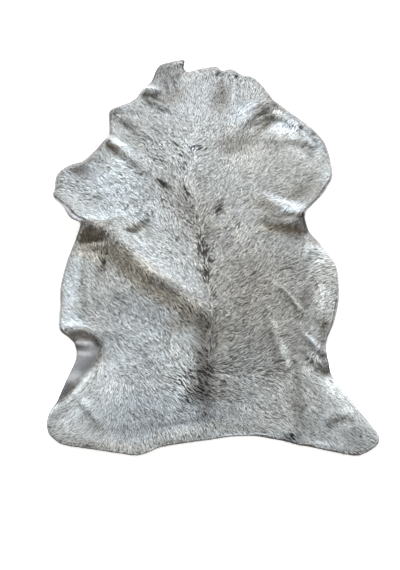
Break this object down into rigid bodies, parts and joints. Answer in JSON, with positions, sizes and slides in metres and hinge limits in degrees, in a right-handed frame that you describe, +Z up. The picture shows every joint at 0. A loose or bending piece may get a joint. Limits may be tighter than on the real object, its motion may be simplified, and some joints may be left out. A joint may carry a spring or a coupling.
{
  "type": "lambskin",
  "caption": "Whole tanned lambskin with short cropped grey wool, laid flat wool side up, with folded and lifted edges, used as a floor rug or a seat throw.",
  "frame": {"origin": "centre of the bounding box's bottom face, on the floor under the skin", "axes": "+Z up, wool side; +Y along the animal's back from the rump towards the neck; +X to the right seen from above with the neck up"},
  "size_m": [0.6748, 0.9204, 0.0417],
  "materials": {
    "wool": "matte short cropped wool, silver grey with brownish shadows",
    "hide": "matte suede flesh side and bare grey skin at flanks and armpits"
  },
  "bodies": {
    "root": {"lambskin": "wool"}
  },
  "joints": []
}
